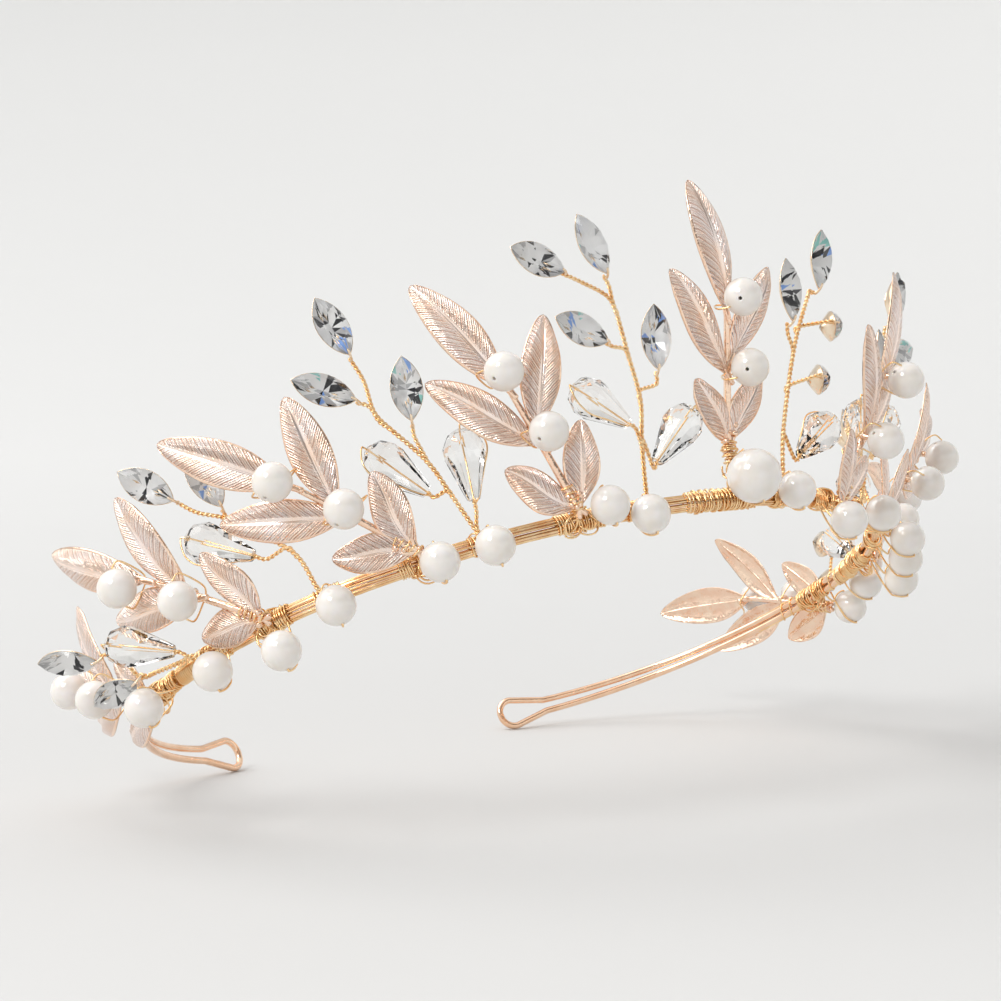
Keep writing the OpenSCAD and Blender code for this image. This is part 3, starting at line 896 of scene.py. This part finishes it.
def crystal_facets():
    """Facets of a pointed oval brilliant cut, as (corners, is_back). Z is the way it faces."""
    count = 16
    girdle_top, girdle_low, table, keel = 1.35, 1.15, 2.65, -0.35
    rim = oval_ring(CRYSTAL_L, CRYSTAL_W, count)
    high = [np.array((x, y, girdle_top)) for x, y in rim]
    low = [np.array((x, y, girdle_low)) for x, y in rim]
    flat = [np.array((x * 0.56, y * 0.6, table)) for x, y in rim[::2]]
    facets = [(flat, False)]
    for j in range(count // 2):
        here, after, between = 2 * j, (2 * j + 2) % count, 2 * j + 1
        t0, t1 = flat[j], flat[(j + 1) % len(flat)]
        star = np.array((rim[between][0] * 0.82, rim[between][1] * 0.84, 2.1))
        last = np.array((rim[here - 1][0] * 0.82, rim[here - 1][1] * 0.84, 2.1))
        facets += [([t0, star, t1], False), ([high[here], star, t0, last], False)]
        facets += [([high[here], high[between], star], False), ([high[between], high[after], star], False)]
        facets += [([low[here], low[between], high[between], high[here]], False)]
        facets += [([low[between], low[after], high[after], high[between]], False)]
        mid = np.array((rim[between][0] * 0.5, rim[between][1] * 0.55, 0.35))
        before = np.array((rim[here - 1][0] * 0.5, rim[here - 1][1] * 0.55, 0.35))
        ridge = np.array((0, rim[here][1] * 0.3, keel))
        ahead = np.array((0, rim[after][1] * 0.3, keel))
        facets += [([low[here], mid, low[between]], True), ([low[between], mid, low[after]], True)]
        facets += [([low[here], before, ridge], True), ([low[here], ridge, mid], True)]
        if abs(ridge[1] - ahead[1]) > 0.01:
            facets += [([mid, ridge, ahead], True)]
    return facets


def outward(corners, centre):
    """The corners in the order that makes their face look away from the centre."""
    a, b, c = corners[:3]
    facing = np.cross(b - a, c - a).dot(a - centre)
    return corners if facing > 0 else corners[::-1]


def crystals(side, i, rng):
    shape = Shape()
    sprig = SPRIGS[side][i]
    centre = np.array((0, 0, 1.2))
    for x, y, direction, twist, bend, back in CRYSTALS[sprig[2]]:
        lie = sprig_place(side, sprig) @ on_sprig(x, y, direction, twist, back)
        for corners, is_back in crystal_facets():
            corners = outward(corners, centre)
            # A random value for each facet, which picks its painted reflection in the foil.
            tone = [(rng.random(), 0.5)] * len(corners)
            face = [tuple(range(len(corners)))]
            shape.add(corners, face, material=int(is_back), smooth=False, uv=tone, matrix=lie)
    name = f"{SIDE_NAMES[side]}_{i + 1}"
    shape.make(f"stones_{name}", [crystal_clear, crystal_back], "foiled_crystal", "frame",
               f"crystals_{name}")


def crystal_cups(side):
    """A thin cup behind each crystal, open at the front, with a claw over its foot."""
    shape = Shape()
    levels = [(1.025, 1.2), (1.02, 1.05), (0.62, 0.2), (0.2, -0.5)]
    for sprig in SPRIGS[side]:
        for x, y, direction, twist, bend, back in CRYSTALS[sprig[2]]:
            lie = sprig_place(side, sprig) @ on_sprig(x, y, direction, twist, back)
            rim = oval_ring(CRYSTAL_L, CRYSTAL_W, 24)
            count = len(rim)
            outer = [(px * k, py * k, z) for k, z in levels for px, py in rim]
            inner = [(px * (k - 0.03), py * (k - 0.025), z + 0.04) for k, z in levels for px, py in rim]
            wall = []
            for row in range(len(levels) - 1):
                a, b = row * count, (row + 1) * count
                wall += [(a + k, a + (k + 1) % count, b + (k + 1) % count, b + k) for k in range(count)]
            total = len(outer)
            inside = [tuple(total + k for k in reversed(f)) for f in wall]
            lip = [(total + k, total + (k + 1) % count, (k + 1) % count, k) for k in range(count)]
            end = (len(levels) - 1) * count
            floor = [tuple(range(end + count - 1, end - 1, -1)),
                     tuple(range(total + end, total + end + count))]
            shape.add(outer + inner, wall + inside + lip + floor, matrix=lie)
            foot = -CRYSTAL_L / 2
            claw = curve([(0, foot - 0.7, 0.3), (0, foot - 0.35, 1.0), (0, foot + 0.25, 1.55),
                          (0, foot + 0.8, 1.8)], 0.15)
            shape.add(*tube(claw, [0.5] * 4 + [0.4] * (len(claw) - 4), 8), matrix=lie)
    name = SIDE_NAMES[side]
    shape.make(f"cups_{name}", [cup_metal], "gold_cup", "frame", f"crystal_cups_{name}")


def drop_facets():
    """Rings of a long faceted drop along Y, narrow at its foot, each turned half a step."""
    sides = 10
    r = DROP_D / 2
    rings = [(0.35, 0.0, 0), (0.95, 0.0, 0), (1.35, 1.1, 0), (r * 0.97, 6.6, 0),
             (r, 8.1, 0.5), (r * 0.72, 10.0, 0), (0.8, 10.85, 0.5), (0.3, DROP_L, 0.5)]
    vertices, faces = [], []
    for radius, height, shift in rings:
        for k in range(sides):
            a = 2 * math.pi * (k + shift) / sides
            vertices.append((radius * math.sin(a), height, radius * math.cos(a)))
    for row in range(len(rings) - 1):
        a, b = row * sides, (row + 1) * sides
        low, high = rings[row][2], rings[row + 1][2]
        for k in range(sides):
            n = (k + 1) % sides
            if low == high:
                faces.append((a + k, a + n, b + n, b + k))
            elif high > low:
                faces += [(a + k, a + n, b + k), (a + n, b + n, b + k)]
            else:
                faces += [(a + k, b + n, b + k), (a + k, a + n, b + n)]
    faces += [tuple(reversed(range(sides))), tuple((len(rings) - 1) * sides + k for k in range(sides))]
    return vertices, faces


def drops(side, i):
    shape = Shape()
    sprig = SPRIGS[side][i]
    for x, y, direction, bend in DROPS[sprig[2]]:
        lie = sprig_place(side, sprig) @ on_sprig(x, y, direction, length=DROP_L)
        shape.add(*drop_facets(), smooth=False, matrix=lie)
    name = f"{SIDE_NAMES[side]}_{i + 1}"
    shape.make(f"drop_beads_{name}", [drop_clear], "clear_crystal", "frame", f"drops_{name}")


# ---------------------------------------------------------------- the whole object

headband()
front_strands()
lashings()
pearl_wires()
band_pearls()
leaf_spray("centre", -1, SPRAY_CENTRE, 40)
spray_pearls("centre", -1, [SPRAY_CENTRE])
for side, side_name in SIDE_NAMES.items():
    crystal_cups(side)
    spray_pearls(side_name, side, SPRAYS[side])
    for i, spray in enumerate(SPRAYS[side]):
        seed = 10 * (side + 2) + i
        leaf_spray(f"{side_name}_{i + 1}", side, spray, seed)
        sprig_wires(side, i, random.Random(seed))
        crystals(side, i, random.Random(seed))
        drops(side, i)


# ---------------------------------------------------------------- stage

FLOOR_RADIUS = 0.8
WALL_RADIUS = 2.0
CAMERA_AZIMUTH = -42.27
CAMERA_ELEVATION = 4.84
CAMERA_DISTANCE = 0.4325
CAMERA_TARGET = Vector((-0.0256, -0.0239, 0.0262))
CAMERA_LENS = 100.45

floor_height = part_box("headband_wire")[0].z


def studio_floor():
    """A pale floor that rises into a round wall, painted darker in the middle and lighter up the wall to
    even out the light that falls on it.
    """
    s = Surface("pale_floor", Roughness=0.75)
    middle = s.node("ShaderNodeVectorMath", operation="LENGTH")
    s.link(s.place, middle.inputs[0])
    # Painted light and shade: the colour grows lighter with distance from the middle, so the floor under
    # the lights is painted darker and the wall lighter.
    spread = s.math("ADD", middle.outputs["Value"], s.math("MULTIPLY", s.noise(60, 3), 0.06))
    tone = s.ramp(s.math("MULTIPLY", spread, 0.5),
                  (0.05, (0.635, 0.63, 0.62)), (0.4, (0.76, 0.757, 0.747)), (0.9, (0.88, 0.878, 0.865)))
    s.link(tone, "Base Color")
    profile = [(1e-5, 0), (0.3, 0), (FLOOR_RADIUS, 0)]
    profile += [(FLOOR_RADIUS + WALL_RADIUS * math.sin(a), WALL_RADIUS * (1 - math.cos(a)))
                for a in np.radians(range(6, 61, 6))]
    vertices, faces = lathe(profile, 96)
    mesh = bpy.data.meshes.new("studio_floor")
    mesh.from_pydata([(x, y, z + floor_height) for x, y, z in vertices], [], faces)
    mesh.polygons.foreach_set("use_smooth", [True] * len(faces))
    mesh.materials.append(s.material)
    floor = bpy.data.objects.new("studio_floor", mesh)
    bpy.context.scene.collection.objects.link(floor)


def from_camera(azimuth, elevation):
    a, e = math.radians(azimuth), math.radians(elevation)
    return Vector((math.sin(a) * math.cos(e), -math.cos(a) * math.cos(e), math.sin(e)))


def softbox(name, azimuth, elevation, distance, size, watts, colour=(1, 1, 1)):
    """A square light that faces the object from that direction."""
    data = bpy.data.lights.new(name, "AREA")
    data.size, data.energy, data.color = size, watts, colour
    lamp = bpy.data.objects.new(name, data)
    towards = from_camera(azimuth, elevation)
    lamp.location = CAMERA_TARGET + towards * distance
    lamp.rotation_mode = "QUATERNION"
    lamp.rotation_quaternion = towards.to_track_quat("Z", "Y")
    bpy.context.scene.collection.objects.link(lamp)


def studio_camera():
    data = bpy.data.cameras.new("camera")
    data.lens = CAMERA_LENS
    data.sensor_width = 36
    data.clip_start, data.clip_end = 0.01, 20
    camera = bpy.data.objects.new("camera", data)
    back = from_camera(CAMERA_AZIMUTH, CAMERA_ELEVATION)
    camera.location = CAMERA_TARGET + back * CAMERA_DISTANCE
    camera.rotation_mode = "QUATERNION"
    camera.rotation_quaternion = (-back).to_track_quat("-Z", "Y")
    bpy.context.scene.collection.objects.link(camera)
    bpy.context.scene.camera = camera


def studio_sky():
    """Soft light from all round: bright overhead and on the key side, dim behind the camera."""
    world = bpy.data.worlds.new("studio")
    world.use_nodes = True
    nodes, links = world.node_tree.nodes, world.node_tree.links
    place = nodes.new("ShaderNodeTexCoord").outputs["Generated"]

    def towards(azimuth, elevation, start, end, values):
        """A brightness that depends on the angle from one direction."""
        product = nodes.new("ShaderNodeVectorMath")
        product.operation = "DOT_PRODUCT"
        product.inputs[1].default_value = from_camera(azimuth, elevation)
        links.new(place, product.inputs[0])
        spread = nodes.new("ShaderNodeMapRange")
        spread.interpolation_type = "SMOOTHSTEP"
        for key, value in zip(("From Min", "From Max", "To Min", "To Max"), (start, end, *values)):
            spread.inputs[key].default_value = value
        links.new(product.outputs["Value"], spread.inputs["Value"])
        return spread.outputs["Result"]

    def combined(operation, a, b):
        made = nodes.new("ShaderNodeMath")
        made.operation = operation
        links.new(a, made.inputs[0])
        links.new(b, made.inputs[1])
        return made.outputs[0]

    light = towards(0, 90, 0.35, 0.95, (0.64, 0.97))
    light = combined("MULTIPLY", light, towards(CAMERA_AZIMUTH, 22, 0.6, 0.92, (1.0, 0.5)))
    light = combined("MULTIPLY", light, towards(CAMERA_AZIMUTH + 62, 38, 0.85, 0.97, (1.0, 0.3)))
    light = combined("ADD", light, towards(CAMERA_AZIMUTH - 95, 40, 0.8, 0.95, (0.0, 1.1)))
    links.new(light, nodes["Background"].inputs["Strength"])
    nodes["Background"].inputs["Color"].default_value = (1, 1, 1, 1)
    bpy.context.scene.world = world


studio_floor()
studio_sky()
softbox("key", CAMERA_AZIMUTH - 120, 55, 1.6, 1.2, 7)
softbox("front_left", CAMERA_AZIMUTH - 42, 40, 1.4, 0.45, 6)
studio_camera()
bpy.context.scene.view_settings.view_transform = "Standard"
